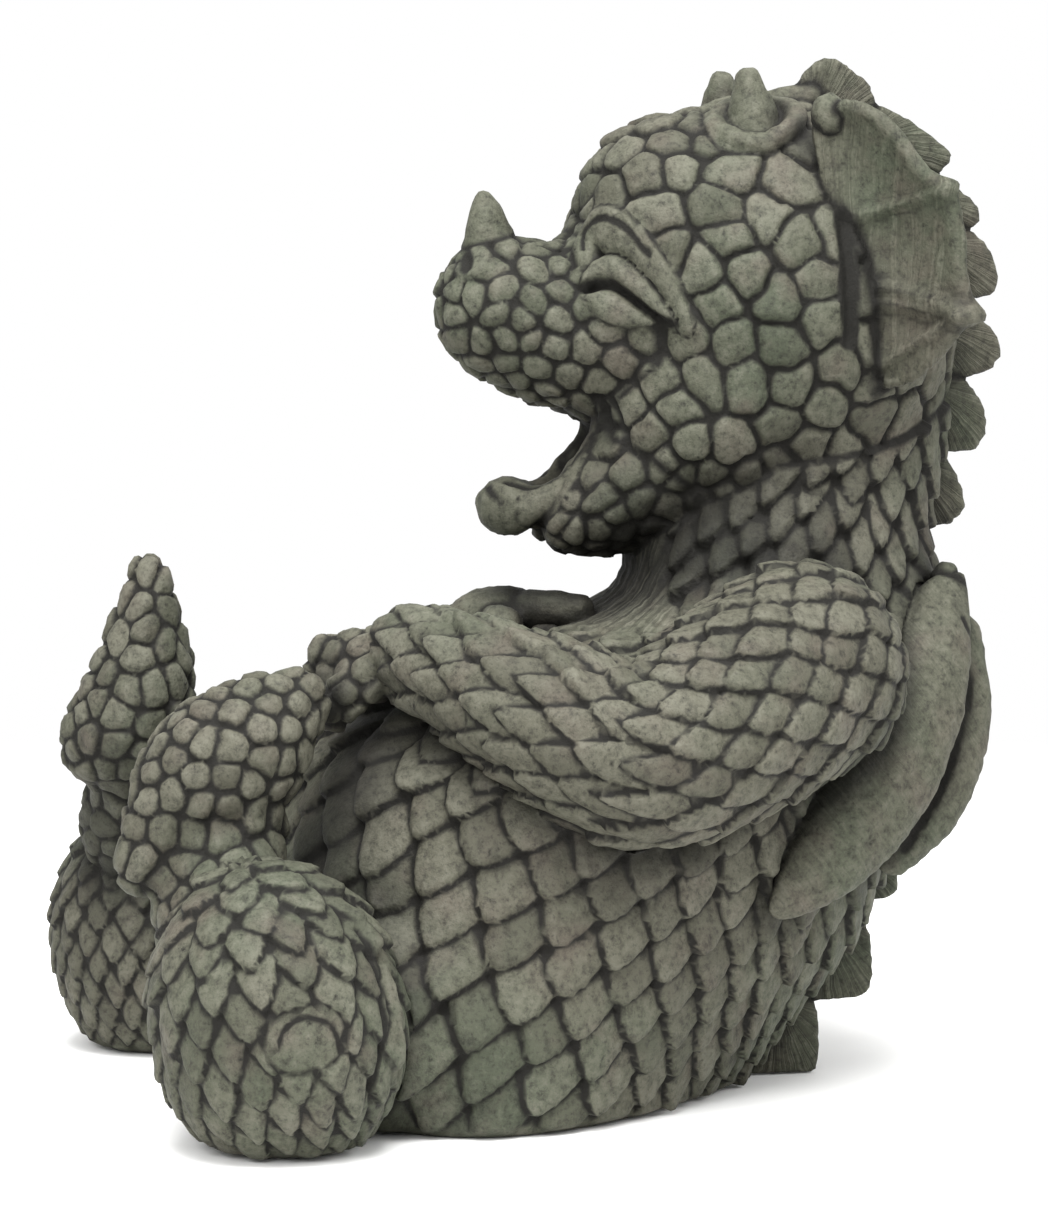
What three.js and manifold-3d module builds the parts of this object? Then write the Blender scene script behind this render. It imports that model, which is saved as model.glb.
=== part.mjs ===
// A laughing garden dragon that sits leaning back, cast in one piece.
// Millimetres, +Z up. The dragon looks along -Y and its left side is +X.
import * as THREE from 'three';
import Module from 'manifold-3d';

// Driving dimensions
const soleLevel = 0; // the casting is cut flat here and rests on this face
const scaleRise = 1.7; // how far the free tip of a body scale stands up
const limbRise = 1.4;
const plateRise = 1.3; // how far the middle of a head plate stands up
const scaleTip = 0.6; // place of a scale's high point, 0 at its middle and 1 at its tip
const eggShape = 0.28; // how much wider the body is at the belly than at the back

// Body sections from neck to base: height, middle, half depth, half width
const bodySections = [
  [190, 87, 26, 20],
  [177, 82, 33, 28],
  [153, 73, 41, 37],
  [139, 71.5, 42, 41],
  [130, 68, 46, 48],
  [120, 54, 59, 57],
  [109, 37, 74, 64],
  [98, 27, 82, 69],
  [85, 21, 85, 74],
  [63, 15, 85, 77],
  [41, 11.5, 80, 77],
  [22, 9, 72, 74],
  [0, 9, 58, 69],
  [-9, 9.5, 50, 64],
];

// Rounded masses of the head: centre, half sizes along x, y and z, forward tilt in degrees
const skull = { centre: [0, 70, 211.5], half: [45, 50, 56], tilt: 0 };
const forehead = { centre: [0, 42, 234], half: [33, 28, 31], tilt: 0 };
const cheeks = { centre: [0, 46, 180.5], half: [39, 28, 25], tilt: 0 };
const chin = { centre: [0, 25, 156.5], half: [18, 19, 12], tilt: 15 };
const nearLeg = { centre: [80, -84, 31], half: [34, 30, 41], tilt: 28 };
const farLeg = { centre: [-78, -93, 31], half: [30, 26, 40], tilt: 20 };
const thigh = { centre: [54, -42, 28], half: [26, 46, 30], tilt: 0 };
const eyeball = { centre: [25, 19, 216], half: [7, 11, 8], tilt: -25 };
const hornCollar = { centre: [17, 60, 253.5], half: [11.5, 11.5, 5], tilt: 0 };
const fanKnob = { centre: [34, 75.5, 262], half: [5, 5, 6], tilt: 0 };
const handBack = { centre: [32, -47, 121], half: [13, 13, 10], tilt: 10 };
const farHandBack = { centre: [-8, -5, 125.5], half: [11, 17, 10.5], tilt: 0 };

// Limbs: x, y, z and radius from root to tip
const snout = [[0, 32, 206.5, 28], [0, 10, 207, 22.5], [0, -5.5, 211, 19.5]];
const jawSide = [[16, 36, 168, 14], [15, 23, 162.5, 11], [11, 12, 154, 6.5]];
const lipHalf = [[12, 21, 179, 4.2], [11.5, 16.5, 169, 5.2], [10.5, 8.5, 161, 7.2], [6, -1.5, 157.5, 8.6]];
const lipTip = [0, -3.5, 157.5, 8.8];
const horn = [[17, 59.5, 253, 7.5], [16, 59, 264, 6], [15.5, 58, 272, 3.8]];
const noseHorn = [[0, -9, 224.5, 8], [0, -10, 234.5, 5], [0, -11, 240, 2.4]];
const nearArm = [
  [58, 62, 117, 27],
  [72, 40, 107, 26],
  [80, 15, 98.5, 22.5],
  [74, -10, 109, 19],
  [54, -29, 120, 14.5],
  [42, -37, 123, 11.5],
];
const farArm = [
  [-58, 60, 119, 27],
  [-72, 36, 98, 25],
  [-80, 9, 88, 21.5],
  [-66, -14, 102, 16.5],
  [-42, -12, 115, 12.5],
  [-26, -6, 123, 11],
];
const nearAnkle = [[52, -88.5, 78, 16], [64, -92, 58, 17]];
const farAnkle = [[-44, -97, 91, 14], [-60, -100, 66, 15]];
const nearFoot = [
  [50, -69.5, 111.5, 8.6],
  [52, -79, 104, 15.5],
  [54, -90.5, 94, 19],
  [56, -102.5, 83, 12.5],
  [58, -110, 70, 8.2],
];
const farFoot = [
  [-42, -97, 138, 4.8],
  [-42, -96.5, 122, 10],
  [-44, -98, 103.5, 15],
  [-46, -104, 92.5, 15],
  [-46, -109, 89.5, 11.5],
];
const fingers = [
  [[34, -47, 122.5, 8], [28, -53.5, 122.5, 6.2], [22, -57, 120, 5]],
  [[40, -48, 117, 6], [42, -52, 112, 5], [40, -53.5, 107, 4]],
  [[0, 1.5, 130, 6], [6, 8.5, 131.5, 5], [8, 15, 131.5, 4.6]],
  [[-4, -6, 127, 6.5], [6, -8, 128, 6.2]],
];
const wingLobe = [
  [30, 109, 132, 7.5],
  [40, 101.5, 112, 12],
  [48, 90, 90.5, 14],
  [56, 75.5, 72.5, 12.5],
  [62, 61.5, 60, 7],
  [64, 56.5, 56, 4],
];
const wingFold = [[26, 113, 121.5, 6.5], [28, 114.5, 104, 7.5], [32, 109, 85.5, 8], [36, 98, 71, 6]];
const wingKnuckle = { centre: [27, 112, 134], half: [5, 6, 9], tilt: 0 };
const browLid = [[20, 18, 238, 4], [25, 24, 236.5, 5.4], [31, 31, 226, 5.4], [35, 37, 212, 4]];
const lowerLid = [[22, 10, 212, 4.4], [27, 19, 208, 5.4], [31, 28, 208.5, 4]];

// Ear fan: its root along the head, and its rim
const fanRoot = [[33, 75.5, 263], [36, 78, 245], [38, 80.5, 229.5], [39, 81.5, 213.5], [38, 81, 200.5], [34, 84, 191]];
const fanRim = [[36, 75, 263], [46, 87, 263], [54, 99.5, 248], [58, 106, 222], [54, 102, 201], [42, 89, 191]];
const fanHalfThickness = 2.6;
const fanHollow = 5; // depth of the dish between root and rim
const fanRibs = 4;
const fanRibRise = 1.5;

// Crest: the line of the skin down the middle of the head and back, as y and z
const crestLine = [
  [62, 266],
  [83, 265],
  [103, 251],
  [118, 225],
  [119.5, 200],
  [117, 172],
  [112.5, 145],
  [111, 110],
  [105, 85],
  [98, 60],
  [89, 36],
  [78, 15],
  [66, 0],
];
const crestTeeth = 12;
const crestReach = 12.5;
const crestSink = 9;
const crestHalfThickness = 3.2;

const stone = new THREE.MeshStandardMaterial({ color: 0x6f7263, roughness: 0.85, metalness: 0, flatShading: true });

const wasm = await Module();
wasm.setup();

const vector = (list) => new THREE.Vector3(list[0], list[1], list[2]);
const mirrored = (rows) => rows.map(([x, ...rest]) => [-x, ...rest]);
const sided = (mass, side) => ({ ...mass, centre: [side * mass.centre[0], mass.centre[1], mass.centre[2]] });
const turn = (row, column, around) => ((column + (row % 2) / 2) / around) * 2 * Math.PI;

// A solid from lists of positions and triangles, turned outward if it came out inside out
function solidFrom(positions, triangles) {
  const corner = (index) => new THREE.Vector3().fromArray(positions, index * 3);
  let volume = 0;
  for (let i = 0; i < triangles.length; i += 3) {
    const [a, b, c] = [0, 1, 2].map((k) => corner(triangles[i + k]));
    volume += a.dot(b.cross(c));
  }
  const faces = volume > 0 ? triangles : triangles.slice().reverse();
  const mesh = new wasm.Mesh({
    numProp: 3,
    vertProperties: new Float32Array(positions),
    triVerts: new Uint32Array(faces),
  });
  return new wasm.Manifold(mesh);
}

// A closed skin over rings that shift by half a step from row to row. Each diamond between
// three rows is one scale, with its high point moved from its middle towards its tip.
function scaledSkin(rings, startPole, endPole, around, rise, tip) {
  const positions = [];
  const triangles = [];
  const put = (point) => positions.push(point.x, point.y, point.z) / 3 - 1;
  const lattice = rings.map((ring, row) =>
    Array.from({ length: around }, (_, column) => put(ring(turn(row, column, around)))));
  const at = (row, column) => lattice[row][(column + around) % around];
  const centreOf = (ring) => ring(0).add(ring(Math.PI)).multiplyScalar(0.5);

  for (let row = 0; row < rings.length - 1; row += 1) {
    for (let column = 0; column < around; column += 1) {
      const left = column - 1 + (row % 2);
      const top = at(row, column);
      const sides = [at(row + 1, left), at(row + 1, left + 1)];
      if (row === 0) triangles.push(top, at(1, left + 1), at(0, column + 1));
      if (row + 2 === rings.length || rise === 0) {
        triangles.push(top, sides[0], sides[1]);
        if (row + 2 < rings.length) triangles.push(sides[0], at(row + 2, column), sides[1]);
        continue;
      }
      const bottom = at(row + 2, column);
      const angle = turn(row, column, around);
      const high = rings[row + 1](angle).lerp(rings[row + 2](angle), tip);
      const middle = centreOf(rings[row + 1]).lerp(centreOf(rings[row + 2]), tip);
      high.add(high.clone().sub(middle).setLength(rise));
      const peak = put(high);
      const edge = [top, sides[0], bottom, sides[1]];
      edge.forEach((from, k) => triangles.push(from, edge[(k + 1) % 4], peak));
    }
  }

  const first = put(startPole);
  const last = put(endPole);
  const end = rings.length - 1;
  for (let column = 0; column < around; column += 1) {
    triangles.push(first, at(0, column), at(0, column + 1));
    triangles.push(last, at(end, column + 1), at(end, column));
  }
  return solidFrom(positions, triangles);
}

// A rounded mass with its rows of plates around the y or the z axis
function egg({ centre, half, tilt }, { around, rows, rise = 0, tip = 0, axis = 'z' }) {
  const turned = new THREE.Matrix4().makeRotationX(THREE.MathUtils.degToRad(tilt));
  const place = (x, y, z) =>
    new THREE.Vector3(x * half[0], y * half[1], z * half[2]).applyMatrix4(turned).add(vector(centre));
  const around3 = (radius, level, angle) =>
    axis === 'z'
      ? place(radius * Math.cos(angle), radius * Math.sin(angle), level)
      : place(radius * Math.cos(angle), -level, radius * Math.sin(angle));
  const rings = Array.from({ length: rows }, (_, row) => {
    const latitude = ((row + 0.7) / (rows + 0.4)) * Math.PI;
    return (angle) => around3(Math.sin(latitude), Math.cos(latitude), angle);
  });
  return scaledSkin(rings, around3(0, 1, 0), around3(0, -1, 0), around, rise, tip);
}

// A round limb through centres and radii, closed by domes, thinner along x where flatten is over 1
function limb(rows, { around, steps, rise = 0, tip = 0, flatten = 1 }) {
  const curve = new THREE.CatmullRomCurve3(rows.map(vector), false, 'centripetal');
  const radii = new THREE.CatmullRomCurve3(rows.map((row) => new THREE.Vector3(row[3], 0, 0)));
  const side = new THREE.Vector3(1, 0.15, 0).normalize();
  const ringAt = (t, along, shrink) => {
    const direction = curve.getTangent(t);
    const across = new THREE.Vector3().crossVectors(direction, side).normalize();
    const outward = new THREE.Vector3().crossVectors(across, direction).normalize();
    const radius = radii.getPoint(t).x;
    const centre = curve.getPoint(t).addScaledVector(direction, along * radius);
    return (angle) =>
      centre.clone()
        .addScaledVector(across, radius * shrink * Math.cos(angle))
        .addScaledVector(outward, (radius * shrink * Math.sin(angle)) / flatten);
  };
  const domes = [0.3, 0.75];
  const rings = [
    ...domes.map((height) => ringAt(0, height - 1, Math.sqrt(1 - (1 - height) ** 2))),
    ...Array.from({ length: steps }, (_, k) => ringAt(k / (steps - 1), 0, 1)),
    ...domes.reverse().map((height) => ringAt(1, 1 - height, Math.sqrt(1 - (1 - height) ** 2))),
  ];
  return scaledSkin(rings, ringAt(0, -1, 0)(0), ringAt(1, 1, 0)(0), around, rise, tip);
}

// The body from neck to base, wider at the belly than at the back
function body() {
  const curve = new THREE.CatmullRomCurve3(bodySections.map((row) => new THREE.Vector3(row[0], row[1], 0)));
  const sizes = new THREE.CatmullRomCurve3(bodySections.map((row) => new THREE.Vector3(row[2], row[3], 0)));
  const rowsOfScales = 18;
  const rings = Array.from({ length: rowsOfScales }, (_, row) => {
    const t = row / (rowsOfScales - 1);
    const { x: height, y: middle } = curve.getPoint(t);
    const { x: depth, y: width } = sizes.getPoint(t);
    return (angle) => {
      const back = Math.cos(angle);
      const wide = width * (1 - eggShape * back * Math.min(1, (190 - height) / 120));
      return new THREE.Vector3(wide * Math.sin(angle), middle + depth * back, height);
    };
  });
  const [top, bottom] = [bodySections[0], bodySections[bodySections.length - 1]];
  const poles = [new THREE.Vector3(0, top[1], top[0] + 4), new THREE.Vector3(0, bottom[1], bottom[0] - 1)];
  return scaledSkin(rings, poles[0], poles[1], 22, scaleRise, scaleTip);
}

// One tooth of the crest in the middle plane, from one place of the crest line to the next
function crestTooth(line, start, end) {
  const from = line.getPointAt(start);
  const to = line.getPointAt(end);
  const along = line.getTangentAt((start + end) / 2);
  const out = new THREE.Vector2(-along.y, along.x);
  const shift = (point, distance) => point.clone().addScaledVector(out, distance);
  const tip = shift(to, crestReach);
  const shape = new THREE.Shape();
  shape.moveTo(...shift(from, -crestSink).toArray());
  shape.lineTo(...shift(from, 1).toArray());
  const bulge = from.clone().lerp(to, 0.45).addScaledVector(out, crestReach);
  shape.quadraticCurveTo(bulge.x, bulge.y, tip.x, tip.y);
  shape.lineTo(...shift(to, crestReach * 0.8).addScaledVector(along, 1.5).toArray());
  shape.lineTo(...shift(to, 1).toArray());
  shape.lineTo(...shift(to, -crestSink).toArray());
  const corners = shape.getPoints(3);
  if (THREE.ShapeUtils.isClockWise(corners)) corners.reverse();
  const count = corners.length;
  const positions = [-crestHalfThickness, crestHalfThickness].flatMap((x) => corners.flatMap((c) => [x, c.x, c.y]));
  const triangles = THREE.ShapeUtils.triangulateShape(corners, []).flatMap(([a, b, c]) =>
    [a, b, c, c + count, b + count, a + count]);
  corners.forEach((_, k) => {
    const next = (k + 1) % count;
    triangles.push(k, k + count, next, next, k + count, next + count);
  });
  return solidFrom(positions, triangles);
}

function crest() {
  const line = new THREE.SplineCurve(crestLine.map(([y, z]) => new THREE.Vector2(y, z)));
  return Array.from({ length: crestTeeth }, (_, k) =>
    crestTooth(line, k / crestTeeth, Math.min(1, (k + 0.93) / crestTeeth)));
}

// The dished ear fan between its root on the head and its rim, with raised ribs
function earFan(side) {
  const root = new THREE.CatmullRomCurve3(fanRoot.map(vector));
  const rim = new THREE.CatmullRomCurve3(fanRim.map(vector));
  const columns = fanRibs * 2 + 1;
  const rows = 4;
  const positions = [];
  const triangles = [];
  const grid = [-1, 1].map((face) =>
    Array.from({ length: columns }, (_, column) =>
      Array.from({ length: rows }, (__, row) => {
        const t = 0.01 + (0.98 * column) / (columns - 1);
        const u = row / (rows - 1);
        const point = root.getPoint(t).lerp(rim.getPoint(t), u);
        const dish = fanHollow * Math.sin(Math.PI * u) * Math.sqrt(Math.sin(Math.PI * t));
        const rib = face > 0 && column % 2 === 1 && row > 0 ? fanRibRise : 0;
        point.x += face * fanHalfThickness + rib - dish;
        return positions.push(side * point.x, point.y, point.z) / 3 - 1;
      })));
  const quad = (a, b, c, d) => triangles.push(a, b, c, a, c, d);
  for (let column = 0; column + 1 < columns; column += 1) {
    for (let row = 0; row + 1 < rows; row += 1) {
      const corners = [[0, 0], [1, 0], [1, 1], [0, 1]].map(([c, r]) => [column + c, row + r]);
      quad(...corners.map(([c, r]) => grid[0][c][r]));
      quad(...corners.reverse().map(([c, r]) => grid[1][c][r]));
    }
    quad(grid[0][column][0], grid[1][column][0], grid[1][column + 1][0], grid[0][column + 1][0]);
    const edge = rows - 1;
    quad(grid[0][column + 1][edge], grid[1][column + 1][edge], grid[1][column][edge], grid[0][column][edge]);
  }
  for (let row = 0; row + 1 < rows; row += 1) {
    const end = columns - 1;
    quad(grid[0][0][row + 1], grid[1][0][row + 1], grid[1][0][row], grid[0][0][row]);
    quad(grid[0][end][row], grid[1][end][row], grid[1][end][row + 1], grid[0][end][row + 1]);
  }
  return solidFrom(positions, triangles);
}

function head() {
  const lip = [...lipHalf, lipTip, ...mirrored(lipHalf).reverse()];
  const smooth = { around: 6, steps: 2 };
  const parts = [
    egg(skull, { around: 15, rows: 9, rise: plateRise }),
    egg(forehead, { around: 10, rows: 6, rise: plateRise }),
    egg(cheeks, { around: 12, rows: 6, rise: plateRise }),
    egg(chin, { around: 8, rows: 4, rise: plateRise }),
    limb(snout, { around: 10, steps: 3, rise: plateRise }),
    limb(lip, { around: 6, steps: 9 }),
    limb(noseHorn, smooth),
  ];
  for (const side of [1, -1]) {
    const onSide = (rows) => (side > 0 ? rows : mirrored(rows));
    parts.push(limb(onSide(jawSide), { around: 7, steps: 2, rise: plateRise }));
    parts.push(limb(onSide(horn), smooth));
    parts.push(egg(sided(hornCollar, side), { around: 8, rows: 2 }));
    for (const lid of [browLid, lowerLid]) parts.push(limb(onSide(lid), { around: 6, steps: 3 }));
    parts.push(egg(sided(eyeball, side), { around: 8, rows: 4 }));
    parts.push(earFan(side));
    parts.push(egg(sided(fanKnob, side), { around: 6, rows: 2 }));
  }
  return parts;
}

function limbs() {
  const sleeve = { around: 8, steps: 10, rise: limbRise, tip: scaleTip };
  const shin = { around: 12, rows: 7, rise: limbRise, tip: scaleTip };
  const cobbled = { around: 9, steps: 2, rise: plateRise };
  const foot = { around: 8, steps: 4, rise: plateRise };
  return [
    limb(nearArm, sleeve),
    limb(farArm, sleeve),
    egg(nearLeg, shin),
    egg(farLeg, shin),
    egg(thigh, { around: 8, rows: 5 }),
    egg(sided(thigh, -1), { around: 8, rows: 5 }),
    limb(nearAnkle, cobbled),
    limb(farAnkle, cobbled),
    limb(nearFoot, { ...foot, flatten: 1.1 }),
    limb(farFoot, { ...foot, flatten: 0.8 }),
    egg(handBack, { around: 7, rows: 4, rise: 1 }),
    egg(farHandBack, { around: 7, rows: 3 }),
    ...fingers.map((rows) => limb(rows, { around: 5, steps: 2 })),
  ];
}

function wings() {
  return [1, -1].flatMap((side) => {
    const onSide = (rows) => (side > 0 ? rows : mirrored(rows));
    return [
      limb(onSide(wingLobe), { around: 6, steps: 5, flatten: 1.7 }),
      limb(onSide(wingFold), { around: 5, steps: 4, flatten: 1.3 }),
      egg(sided(wingKnuckle, side), { around: 6, rows: 2 }),
    ];
  });
}

// Everything below the sole is cut away, so that the casting stands on one flat face
function levelled(solid) {
  const block = new THREE.BoxGeometry(400, 400, 40).toNonIndexed();
  const corners = [];
  const triangles = [];
  const seen = new Map();
  const place = block.getAttribute('position');
  for (let i = 0; i < place.count; i += 1) {
    const corner = [place.getX(i), place.getY(i), place.getZ(i) - 20 + soleLevel];
    const key = corner.join();
    if (!seen.has(key)) seen.set(key, corners.push(...corner) / 3 - 1);
    triangles.push(seen.get(key));
  }
  return solid.subtract(solidFrom(corners, triangles));
}

function dragon() {
  const parts = [body(), ...head(), ...limbs(), ...wings(), ...crest()];
  const whole = levelled(parts.reduce((sum, part) => sum.add(part)));
  const { vertProperties, triVerts } = whole.getMesh();
  const geometry = new THREE.BufferGeometry();
  geometry.setAttribute('position', new THREE.BufferAttribute(vertProperties, 3));
  geometry.setIndex(new THREE.BufferAttribute(triVerts, 1));
  const mesh = new THREE.Mesh(geometry, stone);
  mesh.name = 'dragon';
  return mesh;
}

const group = new THREE.Group();
group.add(dragon());

export default group;
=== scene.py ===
import bpy
import numpy as np
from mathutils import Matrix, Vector


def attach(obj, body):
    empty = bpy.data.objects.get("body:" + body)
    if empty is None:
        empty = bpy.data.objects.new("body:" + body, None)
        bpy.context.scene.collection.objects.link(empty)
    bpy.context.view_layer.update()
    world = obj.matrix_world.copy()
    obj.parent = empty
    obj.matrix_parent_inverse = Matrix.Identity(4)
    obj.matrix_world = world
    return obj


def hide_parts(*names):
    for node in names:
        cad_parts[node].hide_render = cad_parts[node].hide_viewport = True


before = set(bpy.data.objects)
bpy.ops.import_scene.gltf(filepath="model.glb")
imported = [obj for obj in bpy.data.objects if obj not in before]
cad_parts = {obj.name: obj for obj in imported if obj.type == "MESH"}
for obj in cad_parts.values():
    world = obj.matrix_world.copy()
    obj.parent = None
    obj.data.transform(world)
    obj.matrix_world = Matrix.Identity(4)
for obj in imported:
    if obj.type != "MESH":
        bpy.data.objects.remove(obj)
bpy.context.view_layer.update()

# A laughing garden dragon, cast in one piece. The form is worked out in millimetres in the
# frame's own axes (+Z up, the dragon looks along -Y) and becomes metres when the mesh is made.

gridStep = 1.0  # mm between samples of the surface
coarseStep = 6.0                       # mm, for the first search for the surface
searchBox = (-126.0, -138.0, -12.0), (132.0, 150.0, 294.0)
farOff = 60.0                          # mm, stands for nowhere near the surface
mostTriangles = 196000

bodyShape = {
    # from neck to base: height, middle, half depth, half width, how much wider the belly is than the back
    "sections": [
        (190, 87, 26, 20, 0), (177, 82, 33, 28, 0.03), (153, 71.5, 39.5, 37, 0.08), (139, 71.5, 42, 41, 0.12),
        (130, 68, 46, 48, 0.14), (120, 54, 59, 57, 0.16), (109, 37, 74, 64, 0.19), (98, 27, 82, 69, 0.21),
        (85, 21, 85, 74, 0.24), (63, 15, 85, 77, 0.28), (41, 10, 81, 77, 0.32), (22, 4, 72, 76, 0.38),
        (0, -3, 60, 72, 0.42), (-9, -4, 54, 68, 0.42),
    ],
    # across, from row to row, rise of the free tip, how long the tip is
    "bodyScale": (15.0, 9.6, 4.4, 0.6),
    "neckScale": (11.5, 8.4, 3.8, 0.9),
    "rowsRun": ((0, 84, 192), (0, -22, -22)),  # the rows of scales go round this line
    "neckFrom": 127,         # height where the neck's smaller scales begin
    "throat": (36, 122),     # before this y and above this height the skin is only combed
    "throatFade": 5,
    "throatRise": 1.3,
    "combDepth": 0.35,
    "combStrokes": 150,      # radians of stroke in one turn round the neck
}

headShape = {
    "skull": ((0, 70, 211.5), (45, 50, 55.3), 0),
    "forehead": ((0, 41, 233), (33, 27.5, 30.1), 0),
    "cheeks": ((0, 46, 180.5), (39, 28, 25), 0),
    "chin": ((0, 22, 155), (18, 19.5, 11.5), 8),
    "snout": [(0, 32, 206, 28.3), (0, 10.5, 206.3, 22.9), (0, -4.8, 210.6, 19.7)],
    "jawSide": [(15, 34, 168, 14.5), (14.5, 23, 160.5, 11), (11, 9.5, 153.3, 6.5)],
    # the rim of the lower jaw, from the near corner of the mouth round its tip to the far corner
    "lip": [
        (10, 19, 179, 2.4), (9.8, 17.4, 175.3, 2.8), (9.6, 14.8, 169.5, 3.5), (9.2, 9.6, 162.4, 4.4),
        (7, 1.6, 157.8, 5.8), (3.5, -3.8, 157.4, 7.5), (0, -5.2, 157.6, 8), (-3.5, -3, 157.3, 7.4),
        (-6.6, 3, 158.2, 5.8), (-8, 8, 162, 4), (-8.4, 11.8, 166, 3), (-8.5, 15.2, 170.5, 2.6),
        (-8.5, 18, 175, 2.2), (-8.3, 19.6, 178.5, 1.8),
    ],
    "cavity": ((0, 12, 173), (7.5, 17, 8), -28),
    "noseHorn": [(0, -9, 224.5, 8), (0, -10.4, 234.5, 5.2), (0, -11, 240, 2.7)],
    "horn": [(17, 59.5, 253, 8.8), (16, 59, 262, 6.8), (15.5, 58, 272, 3.4)],
    "hornCollar": [
        (27.5, 60, 254.2, 3.2), (24.5, 52.5, 255.6, 3.2), (17, 49.5, 258.6, 3.2), (9.5, 52.5, 262.8, 3.2),
        (6.5, 60, 265, 3.2), (9.5, 67.5, 264.6, 3.2), (17, 70.5, 262.8, 3.2), (24.5, 67.5, 258.4, 3.2),
        (27.5, 60, 254.2, 3.2),
    ],
    "crownRidge": [(0, 63, 262.5, 5), (0, 71, 265.6, 4.6), (0, 79, 267.6, 4.4)],
    "mouthWalls": [
        [(13, 23, 178, 5), (13, 19, 169, 5), (12, 11, 160, 5)],
        [(-13, 29, 178, 5), (-13, 25, 169, 5), (-12, 16.5, 160, 5)],
    ],
    "plate": {"skull": 12.6, "snout": 7.8, "spread": 0.2},
    "platesGrow": ((8, 24), (158, 18)),  # from where, over how many mm, in y and in z
}

armShape = {
    "near": [
        (58, 62, 117, 27), (72, 40, 107, 26), (80, 15, 98.5, 22.5),
        (74, -10, 109, 19), (54, -29, 118.5, 14), (42, -37, 121.3, 11.8),
    ],
    "far": [
        (-56, 66, 115, 25), (-70, 39, 97, 24), (-80, 9, 88, 21.5),
        (-66, -14, 99, 16), (-42, -12, 112, 12.5), (-26, -6, 118, 11),
    ],
    "handBack": ((32, -46, 118), (13, 13, 10), 10),
    "farHandBack": ((-8, -5, 124.3), (11, 16, 10.7), 0),
    "fingers": [
        [(34, -47, 119, 9), (28, -53.5, 119, 8), (25, -56.4, 118.6, 7.4)],
        [(40, -48, 117, 7), (41, -53, 112, 6.2), (37.5, -58, 107.5, 6)],
    ],
    "farFingers": [
        [(-2, 1.5, 128.4, 6), (4, 8, 129.6, 5), (7, 13.5, 129.2, 4.8)],
        [(-4, -6, 124, 6.5), (6, -8, 124.5, 6.4)],
    ],
    "scale": (12.2, 8.2, 3.2, 0.55),
    "plate": 7.4,
}

legShape = {
    "near": ((80, -79, 34.5), (34, 31, 38.5), 14),
    "far": ((-78, -93, 31.5), (30, 27.6, 37), 2),
    "nearHeel": ((80, -88, 20), (24, 17.8, 17.4), 0),
    "thigh": ((54, -42, 28), (26, 46, 30), 0),
    "nearAnkle": [(52, -88.5, 78, 16), (64, -92, 58, 17)],
    "farAnkle": [(-44, -97, 91, 14), (-60, -100, 66, 15)],
    "nearFoot": [
        (50, -69.5, 111.4, 8.2), (52, -79, 103.4, 15), (54, -90.5, 94, 19),
        (56, -102.5, 83, 12.5), (58, -110, 70, 8.2),
    ],
    "farFoot": [
        (-42, -97.5, 137.4, 5), (-42, -97.8, 121.5, 10.4), (-44, -100, 103.5, 15.6),
        (-46, -105.8, 92.5, 15.3), (-46, -109.5, 89.5, 11.5),
    ],
    "nearFlatten": 1.1,
    "farFlatten": 0.8,
    "scale": (10.8, 8.4, 3.0, 0.55),
    "farScale": (8.5, 6.4, 2.3, 0.55),
    "plate": 7.6,
}

wingShape = {
    "lobe": [
        (30, 109, 132, 7.5), (40, 101.5, 112, 12), (48, 90, 90.5, 14),
        (56, 75.5, 72.5, 12.5), (62, 61.5, 60, 7), (64, 56.5, 56, 4),
    ],
    "fold": [
        (26, 113.5, 121.5, 7.6), (28, 115, 104, 8.2), (32, 110.5, 85.5, 8.3),
        (36, 101.5, 72, 7), (40, 93, 64, 4.5),
    ],
    "knuckle": ((27, 111.5, 134), (5, 5, 8.6), 0),
    "lobeFlatten": 1.7,
    "foldFlatten": 1.3,
}

fanShape = {
    "root": [
        (33, 74.5, 263.2), (34, 73.2, 256.9), (36, 74.9, 245.8), (37, 78, 237.4), (38, 80, 228.1),
        (39, 80.9, 218.9), (39, 80.9, 211), (38, 80.4, 203), (37, 82.1, 195), (35, 87.6, 190.1),
    ],
    "rim": [
        (36, 75.5, 262.5), (40, 79.8, 264.6), (46, 86.4, 261.3), (50, 91.8, 254.4),
        (54, 96.6, 246.6), (57, 101.5, 243), (58, 104.4, 232.4), (58, 105.3, 221.2),
        (57, 106.6, 211.2), (52, 102.4, 201.3), (44, 96.5, 193.7), (38, 91, 191.8),
    ],
    "knob": ((34, 75.5, 262), (5, 5, 6), 0),
    "halfThickness": (2.9, 1.7),   # at the root and at the rim
    "hollow": 5.5,
    # shares of the way from top to foot, at the root and at the rim
    "ribs": [(0.373, 0.455), (0.58, 0.722), (0.635, 0.74), (0.96, 0.75)],
    "ribRise": 1.7,
    "ribWidth": 0.02,
    "cellDepth": 1.1,              # of the hollow skin between two ribs
    "rimRise": 0.7,
    "rootDarkened": 0.22,              # share of the fan, from its root, that is painted darker
}

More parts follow.
